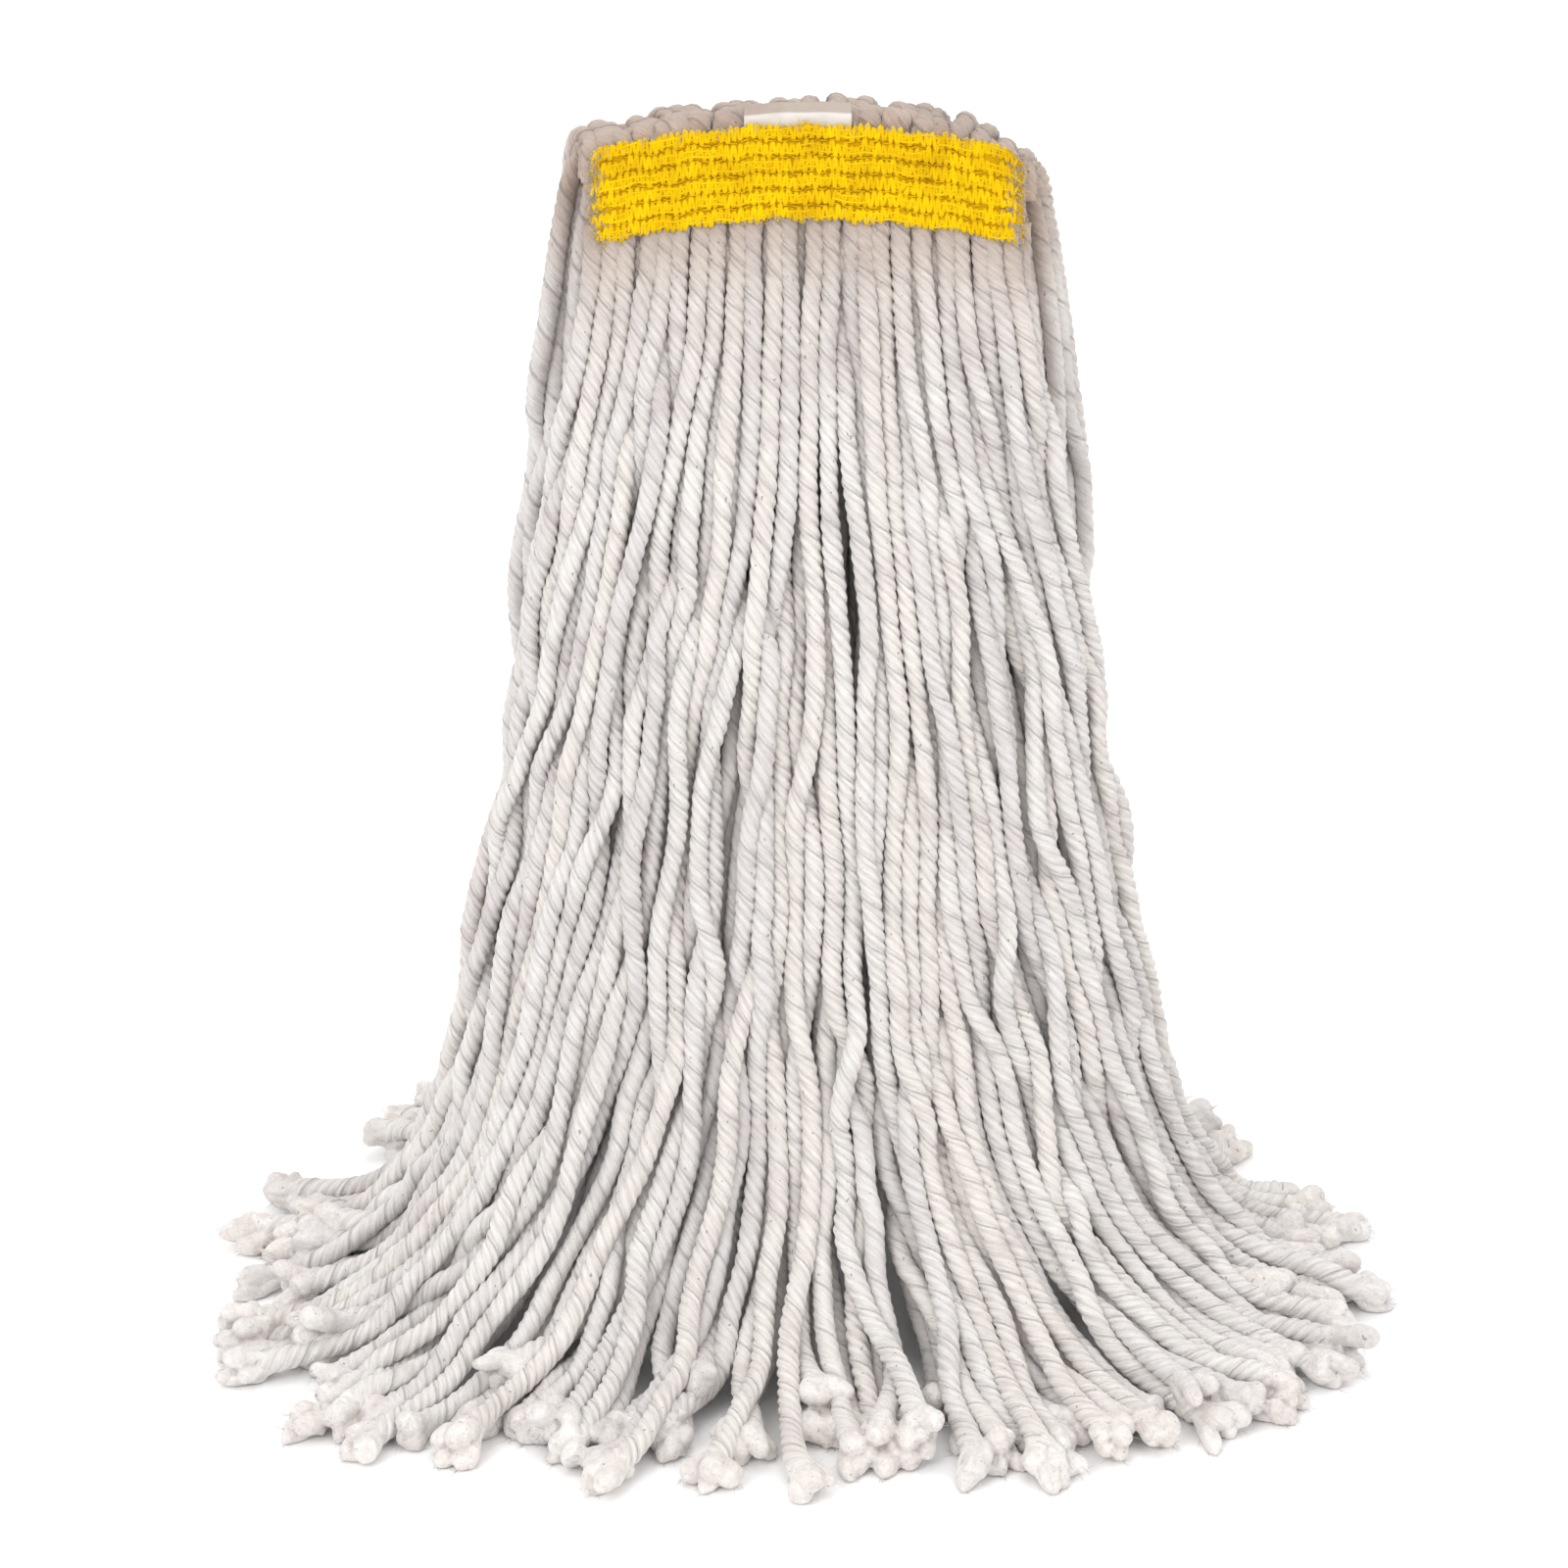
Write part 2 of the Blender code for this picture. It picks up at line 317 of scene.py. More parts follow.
def yarn_material(name, light, dark, fluff, twisted=True):
    """Off-white cotton: fibres along the plies, painted shade in the crevices, painted shade read from a
    vertex attribute, warm and cool patches, seed specks.
    """
    g = Graph(name, light, 0.95)
    if twisted:
        strand = g.add("UVMap", uv_map="strand").outputs["UV"]
        roving = g.noise(g.scaled(strand, (13, 150, 1)), 1.0, 2.0, 0.55)
        fibres = g.noise(g.scaled(strand, (34, 330, 1)), 1.0, 3.0, 0.65)
    else:
        roving = g.noise(g.place, 230, 2.0, 0.55, 1.2)
        fibres = g.noise(g.place, 560, 3.0, 0.65, 2.4)
    fuzz = g.noise(g.place, 1300, 2.0, 0.65)
    patches = g.noise(g.place, 40, 3.0, 0.6)
    bright = tuple(c * 1.04 for c in light)
    color = g.ramp(patches, [(0.30, dark), (0.50, light), (0.72, bright)])
    streaks = [(0.30, (0.80, 0.775, 0.765)), (0.55, (0.96, 0.955, 0.95)), (0.72, (1.06, 1.06, 1.06))]
    color = g.times(color, g.ramp(roving, streaks), 0.8)
    color = g.times(color, g.ramp(fibres, [(0.30, (0.84, 0.83, 0.82)), (0.60, (1.0, 1.0, 1.0))]), 0.6)
    tints = [(0.0, (0.915, 0.905, 0.915)), (0.5, (1, 1, 1)), (1.0, (1.0, 0.973, 0.952))]
    color = g.times(color, g.ramp(g.attribute("tint"), tints))
    # Painted shade from a vertex attribute: the yarn turns a darker warm brown under the front tape, over the
    # rear fold, on inner front layers and on the sewn core.
    painted_shade_stops = [(0.0, (1, 1, 1)), (0.55, (0.90, 0.875, 0.86)), (1.0, (0.60, 0.49, 0.42))]
    color = g.times(color, g.ramp(g.attribute("painted_shade"), painted_shade_stops))
    # Painted shade in the crevices between plies, and between the cut ends' lobes.
    painted_crevice_shade = g.math("POWER", g.attribute("groove"), 1.4)
    color = g.stain_and_painted_shade(color, painted_crevice_shade, 0.22 if twisted else 0.55, (0.36, 0.29, 0.27))
    seeds = g.math("GREATER_THAN", g.noise(g.scaled(g.place, (1, 1, 0.6)), 620, 1.0, 0.4), 0.765)
    color = g.stain_and_painted_shade(color, seeds, 0.55, (0.12, 0.075, 0.045))
    height = g.math("ADD", g.math("MULTIPLY", fibres, 0.7), g.math("MULTIPLY", fuzz, fluff))
    height = g.math("ADD", height, g.math("MULTIPLY", roving, 1.2))
    g.shader.inputs["Sheen Weight"].default_value = 0.25
    g.shader.inputs["Sheen Roughness"].default_value = 0.6
    return g.surface(color, height, 0.85, 0.0006)


def tape_material(name, light, dark, speckle):
    """Yellow knitted polyester: thread streaks, painted shade in the grooves and in dark spots that stand for
    holes in the knit, and a faint sheen.
    """
    g = Graph(name, light, 0.62)
    threads = g.noise(g.scaled(g.place, (700, 900, 2600)), 1.0, 2.0, 0.6)
    color = g.ramp(g.noise(g.place, 75, 3.0, 0.6), [(0.30, dark), (0.56, light)])
    color = g.times(color, g.ramp(threads, [(0.28, (0.80, 0.76, 0.6)), (0.62, (1.0, 1.0, 1.0))]), speckle)
    tints = [(0.0, (0.86, 0.83, 0.8)), (0.5, (0.97, 0.97, 0.97)), (1.0, (1.06, 1.08, 1.0))]
    color = g.times(color, g.ramp(g.attribute("tint"), tints))
    # Painted shade in the grooves between ribs, on the low parts of the winding thread and where stitches
    # dip.
    color = g.stain_and_painted_shade(color, g.attribute("groove"), 0.30, (0.52, 0.29, 0.0))
    # Painted shade: dark spots that stand in for holes in the knit.
    painted_hole_shade = g.math("GREATER_THAN", g.noise(g.scaled(g.place, (1, 1, 1.6)), 330, 1.0, 0.4), 0.735)
    color = g.stain_and_painted_shade(color, painted_hole_shade, 0.7, (0.30, 0.15, 0.0))
    g.shader.inputs["Sheen Weight"].default_value = 0.05
    g.shader.inputs["Specular IOR Level"].default_value = 0.06
    return g.surface(color, threads, 0.6, 0.0003)


def tag_material():
    """Blank white ribbon with a fine plain weave, with painted shade past its fold."""
    g = Graph("tag_ribbon", (0.80, 0.77, 0.75), 0.5)
    colors = {"Color1": (0.74, 0.71, 0.68, 1), "Color2": (0.64, 0.61, 0.58, 1)}
    weave = g.add("TexChecker", {"Vector": g.place, "Scale": 2600, **colors})
    stains = g.ramp(g.noise(g.place, 90, 3.0), [(0.35, (0.84, 0.79, 0.75)), (0.6, (1, 1, 1))])
    color = g.times(weave.outputs["Color"], stains, 0.7)
    # Painted shade on the lip past the fold.
    color = g.times(color, g.ramp(g.attribute("painted_shade"), [(0.0, (1, 1, 1)), (1.0, (0.62, 0.55, 0.50))]))
    return g.surface(color, weave.outputs["Fac"], 0.3, 0.0001)


# ---------------------------------------------------------------- meshes

def add_mesh(name, vertices, quads, material, attributes=None, uv=None, ends=()):
    """A smooth mesh object from arrays. ends are faces of any size, uv is one pair for each vertex."""
    mesh = bpy.data.meshes.new(name)
    quads = np.asarray(quads, np.int32)
    loops = np.concatenate([quads.ravel(), *[np.asarray(face, np.int32) for face in ends]])
    sizes = np.concatenate([np.full(len(quads), 4), [len(face) for face in ends]]).astype(np.int32)
    starts = np.concatenate([[0], np.cumsum(sizes)[:-1]]).astype(np.int32)
    mesh.vertices.add(len(vertices))
    mesh.vertices.foreach_set("co", np.asarray(vertices, np.float32).ravel())
    mesh.loops.add(len(loops))
    mesh.loops.foreach_set("vertex_index", loops.astype(np.int32))
    mesh.polygons.add(len(sizes))
    mesh.polygons.foreach_set("loop_start", starts)
    mesh.polygons.foreach_set("use_smooth", np.ones(len(sizes), bool))
    for key, values in (attributes or {}).items():
        layer = mesh.attributes.new(key, "FLOAT", "POINT")
        layer.data.foreach_set("value", np.asarray(values, np.float32))
    if uv is not None:
        layer = mesh.uv_layers.new(name="strand")
        layer.data.foreach_set("uv", np.asarray(uv, np.float32)[loops].ravel())
    mesh.update(calc_edges=True)
    mesh.validate()
    mesh.materials.append(material)
    return add_object(name, mesh)


class Batch:
    """Gathers many tubes into one mesh object."""

    def __init__(self):
        self.vertices, self.quads, self.ends, self.attributes, self.uv, self.count = [], [], [], {}, [], 0

    def add(self, rings, attributes, lengths, shift=0.0):
        """rings is (tube, ring, side, 3). Tubes get flat caps, and uv round them and along them in metres."""
        tubes, n, sides, _ = rings.shape
        grid = np.arange(n * sides).reshape(n, sides)
        after = np.roll(grid, -1, axis=1)
        quads = np.stack([grid[:-1], after[:-1], after[1:], grid[1:]], axis=-1).reshape(-1, 4)
        first = self.count + np.arange(tubes)[:, None] * n * sides
        self.quads.append((quads + first[:, :, None]).reshape(-1, 4))
        self.ends.extend((first + grid[0, ::-1]).tolist() + (first + grid[-1]).tolist())
        self.vertices.append(rings.reshape(-1, 3))
        for key, values in attributes.items():
            self.attributes.setdefault(key, []).append(np.broadcast_to(values, (tubes, n, sides)).ravel())
        along = np.asarray(lengths)[:, None, None] * np.linspace(0, 1, n)[:, None] + shift
        uv = np.stack(np.broadcast_arrays(np.arange(sides) / sides, along), axis=-1)
        self.uv.append(uv.reshape(-1, 2))
        self.count += tubes * n * sides

    def make(self, name, material):
        joined = {key: np.concatenate(values) for key, values in self.attributes.items()}
        points, quads, uv = (np.concatenate(parts) for parts in (self.vertices, self.quads, self.uv))
        return add_mesh(name, points, quads, material, joined, uv, self.ends)


def frames_along(lines, first=(1.0, 0.0, 0.0)):
    """Two cross directions on each line, carried along without twist from the first given."""
    tangents = unit(np.gradient(lines, axis=1))
    across = np.empty_like(lines)
    side = np.tile(first, (len(lines), 1))
    for k in range(lines.shape[1]):
        side = unit(side - tangents[:, k] * (side * tangents[:, k]).sum(axis=1, keepdims=True))
        across[:, k] = side
    return across, np.cross(tangents, across)


def round_tubes(lines, radius, sides, first=(1.0, 0.0, 0.0)):
    """Rings round many lines, with a radius that broadcasts to (line, point, side)."""
    across, over = frames_along(lines, first)
    theta = np.arange(sides) * math.tau / sides
    radius = np.broadcast_to(radius, lines.shape[:2] + (sides,))[..., None]
    return lines[:, :, None] + radius * (
        across[:, :, None] * np.cos(theta)[:, None] + over[:, :, None] * np.sin(theta)[:, None]
    )


def smooth_lines(knots, count):
    """Evenly spaced points on smooth curves through each line's knots. knots is (line, knot, 3)."""
    out = np.empty((len(knots), count, 3))
    for i, (line, s) in enumerate(zip(knots, way_along(knots))):
        slopes = np.gradient(line, s, axis=0)
        fine = np.linspace(0, s[-1], max(count * 2, 300))
        k = np.clip(np.searchsorted(s, fine, "right") - 1, 0, len(s) - 2)
        h = (s[k + 1] - s[k])[:, None]
        t = ((fine - s[k]) / h[:, 0])[:, None]
        curve = (1 + 2 * t) * (1 - t) ** 2 * line[k] + t * (1 - t) ** 2 * h * slopes[k]
        curve += t**2 * (3 - 2 * t) * line[k + 1] + t**2 * (t - 1) * h * slopes[k + 1]
        along = way_along(curve)
        even = np.linspace(0, along[-1], count)
        for axis in range(3):
            out[i, :, axis] = np.interp(even, along, curve[:, axis])
    return out


# ---------------------------------------------------------------- routes of the half yarns

def outline_point(heading, half_x, half_y, power, left_power):
    """Points on a rounded outline about the origin, at headings from straight ahead."""
    power = np.where(heading < 0, left_power, power)
    side = np.sign(heading) * np.abs(np.sin(heading)) ** power
    ahead = np.sign(np.cos(heading)) * np.abs(np.cos(heading)) ** power
    return np.stack([half_x * side, half_y * ahead], axis=-1)


def even_outline(share, turn, *outline):
    """Points spaced evenly along the outline from -turn to turn, at shares from -1 to 1 of the way."""
    fine = np.linspace(-turn * 1.15, turn * 1.15, 1201)
    along = way_along(outline_point(fine, *outline))
    middle = along[len(along) // 2]
    reach = middle - np.interp(-turn, fine, along)
    return outline_point(np.interp(middle + share * reach, along, fine), *outline)


def fold_height(x):
    """How high the outermost yarns stand above the tapes where they fold over: soft uneven lumps."""
    share = x / BAND_HALF
    lumps = 0.0015 * np.abs(np.sin(2.1 + 5.3 * share)) + 0.0007 * np.sin(11.0 * share + 0.7)
    return 0.0008 - 0.0006 * share + lumps


def fold_drop(x):
    """How far the fold sinks at the head's two shoulders."""
    share = x / BAND_HALF
    return 0.0088 * clamp((share - 0.50) / 0.5) ** 1.4 + 0.0030 * clamp((-share - 0.7) / 0.3)


def fold_groups():
    """Neighbouring columns that fold over together: each column's group middle and extra height."""
    middle, extra = np.empty((2, COLUMNS))
    first = 0
    while first < COLUMNS:
        size = int(rng.integers(2, 5))
        group = slice(first, first + size)
        middle[group], extra[group] = COLUMN_X[group].mean(), rng.normal(0, 0.0015)
        first += size
    return middle, np.clip(extra, -0.0022, 0.0022)


def front_top(x, depth, popped):
    """The front half yarns' knots from inside the head to just below the tape."""
    edge = BAND_BOTTOM + arch(x)
    hang_y = HEAD_Y + lerp(-0.0130, 0.0100, depth) - 0.0030 * popped + rng.normal(0, 0.0005, COLUMNS)
    return [
        (x, HEAD_Y + lerp(-0.0062, 0.0062, depth), edge + 0.007),
        (x, HEAD_Y + lerp(-0.0064, 0.0064, depth), edge),
        (x * 1.03, hang_y, edge - 0.024),
    ]


def rear_top(x, depth, group_x, group_height):
    """The rear half yarns' knots from inside the head, over its top and a little way down behind it."""
    edge = BAND_TOP + arch(x) - fold_drop(x)
    inner_y = HEAD_Y + lerp(-0.0052, 0.0062, depth)
    back_y = HEAD_Y + lerp(0.0300, 0.0150, depth)
    lump = fold_height(x) + group_height + rng.uniform(-0.0004, 0.0004, COLUMNS)
    return [
        (x, inner_y, edge - 0.009),
        (x, inner_y - 0.0003, edge - 0.0005),
        (lerp(x, group_x, 0.55) * 1.035, (inner_y + back_y) / 2 - 0.001, edge + lump - 0.0012 * depth),
        (x * 1.09, back_y, edge - lerp(0.0085, 0.010, depth)),
        (x * 1.155, back_y + 0.0008, edge - 0.036),
    ]


def half_yarn_knots(side):
    """Knots of all half yarns on one side, by layer (outermost first) and column."""
    front = side == "front"
    fold = fold_groups()
    knots = []
    for layer in range(LAYERS):
        depth = layer / (LAYERS - 1)
        stagger = PITCH * (0.25 if layer % 2 else -0.25)
        x = COLUMN_X + stagger + rng.normal(0, 0.0009, COLUMNS)
        share = x / (BAND_HALF * COLUMN_SPAN) + (LAYER_SHIFT[layer] - 0.2) * 2 / COLUMNS
        share = share + rng.normal(0, 0.012, COLUMNS)
        waist = even_outline(share, TURN[side], WAIST_HALF_X, WAIST_Y[side], *WAIST_POWERS)
        share = share + rng.normal(0, 0.013, COLUMNS)
        reach = even_outline(share, TURN[side], END_HALF_X[side], REACH[side], *END_POWERS[side])
        short = (rng.uniform(0, 1, COLUMNS) < 0.24) * (layer < 2)
        out = LAYER_END[layer] + rng.uniform(-0.11, 0.0, COLUMNS) - short * rng.uniform(0.10, 0.34, COLUMNS)
        end = lerp(waist, reach, out[:, None])
        hook = rng.normal(0, 0.0065, (COLUMNS, 2))
        if front and layer == 0:
            end[STRAY] = reach[STRAY] * 1.02
            hook[STRAY] = (-0.013, -0.004)
        popped = (rng.uniform(0, 1, COLUMNS) < 0.4) * LAYER_POP[layer]
        top = front_top(x, depth, popped) if front else rear_top(x, depth, *fold)
        hang_x, hang_y, hang_z = np.broadcast_arrays(*top[-1])
        root = np.stack([hang_x, hang_y], axis=-1)
        pulled = lerp(root, waist, LAYER_WAIST[layer])
        middle = lerp(root, pulled, 0.50)
        middle[:, 1] += (-0.0045 if front else 0.0045) * popped
        contact = lerp(pulled, end, 0.66) + hook * 0.35
        low = YARN / 2 + lerp(0.0045, 0.0, depth) * rng.uniform(0.2, 1.0, COLUMNS) + 0.006 * short
        below = [
            (middle, (hang_z + WAIST_Z) / 2), (pulled, WAIST_Z), (lerp(pulled, end, 0.27), KNEE_Z),
            (contact, low + 0.004), (end + hook, low),
        ]
        rows = top + [(*xy.T, z) for xy, z in below]
        knots.append(np.stack([np.stack(np.broadcast_arrays(*row), axis=-1) for row in rows], axis=1))
    return np.concatenate(knots)


def add_wander(lines):
    """Slow sideways wandering of every yarn, growing from the head down."""
    count, nodes, _ = lines.shape
    s = np.linspace(0, 1, nodes)
    grow = clamp((s - 0.04) / 0.33)
    for waves, size in ((2.2, 0.0026), (4.7, 0.0017), (10.0, 0.0009)):
        phase = rng.uniform(0, math.tau, (count, 2, 1))
        rate = waves * rng.uniform(0.7, 1.3, (count, 2, 1))
        move = size * grow * np.sin(math.tau * rate * s + phase)
        lines[:, :, 0] += move[:, 0]
        lines[:, :, 1] += move[:, 1] * 0.8
    return lines


def close_pairs(points, reach):
    """Pairs of points closer than about reach along each axis, found through a grid of cells."""
    cells = np.floor((points - points.min(axis=0)) / reach).astype(np.int64) + 1
    size = cells.max(axis=0) + 2
    keys = (cells[:, 0] * size[1] + cells[:, 1]) * size[2] + cells[:, 2]
    order = np.argsort(keys, kind="stable")
    ordered = keys[order]
    found = []
    for dx, dy, dz in itertools.product((-1, 0, 1), repeat=3):
        shift = (dx * size[1] + dy) * size[2] + dz
        if shift < 0:
            continue
        first = np.searchsorted(ordered, keys + shift, "left")
        counts = np.searchsorted(ordered, keys + shift, "right") - first
        a = np.repeat(np.arange(len(points)), counts)
        step = np.arange(len(a)) - np.repeat(np.cumsum(counts) - counts, counts)
        b = order[np.repeat(first, counts) + step]
        keep = a < b if shift == 0 else a != b
        found.append(np.stack([a[keep], b[keep]], axis=1))
    return np.concatenate(found)


def settle(lines, radii, rounds):
    """Pushes yarns out of each other, off the floor and off the head, and keeps their lengths."""
    count, nodes, _ = lines.shape
    pts = lines.copy()
    owner = np.repeat(np.arange(count), nodes)
    spot = np.tile(np.arange(nodes), count)
    flat_r = radii.ravel()
    rest = point_gaps(lines)
    free = np.arange(nodes) >= PINNED
    free_rear = (np.arange(count) >= count // 2)[:, None] & free
    for turn in range(rounds):
        pts += 0.03 * (lines - pts)
        flat = pts.reshape(-1, 3)
        if turn % 3 == 0:
            pairs = close_pairs(flat, YARN * 1.25)
            same = owner[pairs[:, 0]] == owner[pairs[:, 1]]
            near = np.abs(spot[pairs[:, 0]] - spot[pairs[:, 1]]) < 4
            pairs = pairs[~(same & near)]
        a, b = pairs[:, 0], pairs[:, 1]
        gap = flat[a] - flat[b]
        distance = np.linalg.norm(gap, axis=1) + 1e-9
        lap = 0.97 * (flat_r[a] + flat_r[b]) - distance
        hit = lap > 0
        a, b = a[hit], b[hit]
        push = gap[hit] * (0.42 * lap[hit] / distance[hit])[:, None]
        total = np.zeros_like(flat)
        for axis, moves in enumerate(push.T):
            total[:, axis] = np.bincount(a, moves, len(flat)) - np.bincount(b, moves, len(flat))
        touches = np.bincount(a, minlength=len(flat)) + np.bincount(b, minlength=len(flat))
        total /= np.maximum(1, touches / 2)[:, None]
        pts += total.reshape(pts.shape) * free[:, None]
        straighter = (pts[:, 2:] + pts[:, :-2]) / 2 - pts[:, 1:-1]
        pts[:, 1:-1] += 0.22 * straighter * free[1:-1, None]
        for _ in range(2):
            link = np.diff(pts, axis=1)
            length = np.linalg.norm(link, axis=2)
            fix = link * (0.5 * (1 - rest / length))[..., None]
            pts[:, PINNED:-1] += fix[:, PINNED:]
            pts[:, PINNED + 1:] -= fix[:, PINNED:]
        behind = free_rear & (pts[:, :, 2] > BAND_BOTTOM - DROOP - 0.004)
        pts[:, :, 1] = np.where(behind, np.maximum(pts[:, :, 1], REAR_FACE + radii), pts[:, :, 1])
        on_floor(pts, radii)
        for axis in range(2):
            pts[:, :, axis] = np.clip(pts[:, :, axis], CAD_LO[axis] + WALL_GAP, CAD_HI[axis] - WALL_GAP)
    return pts


def loosening(s):
    """How much thicker a yarn gets towards its cut end."""
    return 1 + 0.10 * clamp((s - 0.45) / 0.4)


def yarn_radii(side):
    """Half thickness along each half yarn: squeezed at the head, full below, loose near the cut end."""
    s = np.linspace(0, 1, NODES)
    squeeze = lerp(0.70, 1.0, clamp(s / (0.08 if side == "front" else 0.16)))
    return YARN / 2 * (squeeze * loosening(s)) * rng.uniform(0.92, 1.06, (LAYERS * COLUMNS, 1))


# ---------------------------------------------------------------- yarn surfaces

def smooth_noise(count, length, cells):
    """Random curves between -1 and 1, smooth over length/cells samples."""
    coarse = rng.uniform(-1, 1, (count, cells + 3))
    t = np.linspace(0, cells, length)
    k = t.astype(int)
    f = ease(t - k)
    return coarse[:, k] * (1 - f) + coarse[:, k + 1] * f


def yarn_rings(lines, side, sides, spacing, inside):
    """Four-lobed twisted rings along each line. Returns ring points, groove depth (for painted shade in the
    crevices), painted shade and ring centres.
    """
    count = len(lines)
    length = line_lengths(lines)
    rings = int(round(length.mean() / spacing)) + 1
    centres = smooth_lines(lines[:, ::2], rings)
    across, over = frames_along(centres)
    s = np.linspace(0, 1, rings)
    metres = length[:, None] * s
    if side == "front":
        start, widest = 0.030, 1.02
        # Painted shade: front yarns darken just under the tape, and on inner layers above the knee as much as
        # inside says.
        painted_shade = np.maximum(clamp(1 - metres / 0.075), inside * clamp((0.68 - s) / 0.2))
    else:
        start, widest = 0.048, 1.22
        # Painted shade: rear yarns darken over the fold at the head.
        painted_shade = clamp(1.3 - metres / 0.085)
    free = ease(clamp(metres / start))
    wide = lerp(widest, 1.0, free)
    flat = lerp(0.52, 1.0, free)
    loose = loosening(s) + 0.06 * smooth_noise(count, rings, 26)
    puff = 1 + 0.34 * clamp((metres - length[:, None] + 0.026) / 0.026) ** 1.5
    close = clamp((length[:, None] - metres) / 0.0035) ** 0.5
    size = YARN / 2 * loose * puff * lerp(0.35, 1.0, close)
    turn = -math.tau * metres / LAY_LENGTH + rng.uniform(0, math.tau, (count, 1))
    turn += 0.55 * np.cumsum(smooth_noise(count, rings, 14), axis=1) * spacing / 0.012
    lobe = np.arange(sides) * math.tau / sides
    round_part = 1 - np.abs(np.cos(PLIES / 2 * lobe))
    depth = lerp(0.14, 0.215, free) - 0.05 * clamp((s - 0.6) / 0.3) + 0.06 * smooth_noise(count, rings, 30)
    profile = 1 - depth[..., None] * round_part ** 0.9
    ply_size = 1 + 0.05 * np.stack([smooth_noise(count, rings, 40) for _ in range(PLIES)], axis=-1)
    ply = (np.round(lobe / (math.tau / PLIES)).astype(int)) % PLIES
    profile = profile * ply_size[..., ply]
    angle = turn[..., None] + lobe
    x = (size * wide)[..., None] * profile * np.cos(angle)
    y = (size * flat)[..., None] * profile * np.sin(angle)
    points = centres[:, :, None] + across[:, :, None] * x[..., None] + over[:, :, None] * y[..., None]
    points = on_floor(points + rng.normal(0, 0.00005, points.shape))
    return points, round_part ** 2, painted_shade[..., None], centres


def smooth_lumps(shape, passes):
    """Random values over tubes, smoothed along and around them."""
    lumps = rng.normal(0, 1, shape)
    for _ in range(passes):
        lumps = (lumps + np.roll(lumps, 1, axis=2) + np.roll(lumps, -1, axis=2)) / 3
        inner = (lumps[:, 2:] + lumps[:, 1:-1] + lumps[:, :-2]) / 3
        lumps = np.concatenate([lumps[:, :1], inner, lumps[:, -1:]], axis=1)
    return lumps / lumps.std()


def fused(batch, name, material, size, tints, centres):
    """One soft skin round all of a batch's tubes, with the tint of the nearest centre."""
    rough = batch.make(name + "_rough", material)
    skin = rough.modifiers.new("skin", "REMESH")
    skin.mode, skin.voxel_size, skin.adaptivity = "VOXEL", size, 0.0
    made = rough.evaluated_get(bpy.context.evaluated_depsgraph_get()).to_mesh()
    points = np.empty(len(made.vertices) * 3, np.float32)
    made.vertices.foreach_get("co", points)
    points = points.reshape(-1, 3).astype(float)
    quads = np.empty(len(made.loops), np.int32)
    made.loops.foreach_get("vertex_index", quads)
    quads = quads.reshape(-1, 4)
    bpy.data.objects.remove(rough)
    a, b = np.concatenate([quads[:, [k, (k + 1) % 4]] for k in range(4)]).T
    joins = np.maximum(1, np.bincount(a, minlength=len(points)))

    def around(values):
        """The mean of each point's neighbours."""
        return np.bincount(a, values[b], len(points)) / joins

    for _ in range(3):
        for axis in range(3):
            points[:, axis] += 0.5 * (around(points[:, axis]) - points[:, axis])
    on_floor(points)
    nearest = ((points[:, None, :2] - centres[None, :, :2]) ** 2).sum(axis=2).argmin(axis=1)
    # How hollow each point is; the material paints shade into these creases between the lobes.
    groove = creases(points, quads, around)
    attributes = {"groove": groove, "painted_shade": np.zeros(len(points)), "tint": tints[nearest]}
    return add_mesh(name, points, quads, material, attributes)


def creases(points, quads, around):
    """How hollow the surface is at each point, from 0 to 1, spread a little to both sides."""
    face = points[quads]
    across = np.repeat(np.cross(face[:, 2] - face[:, 0], face[:, 3] - face[:, 1]), 4, axis=0)
    normals = np.stack([np.bincount(quads.ravel(), part, len(points)) for part in across.T], axis=1)
    near = np.stack([around(part) for part in points.T], axis=1)
    hollow = ((near - points) * unit(normals + 1e-15)).sum(axis=1)
    hollow = np.clip(hollow / 0.00005, 0, 1.6)
    for _ in range(2):
        hollow += 0.5 * (around(hollow) - hollow)
    return clamp(hollow)


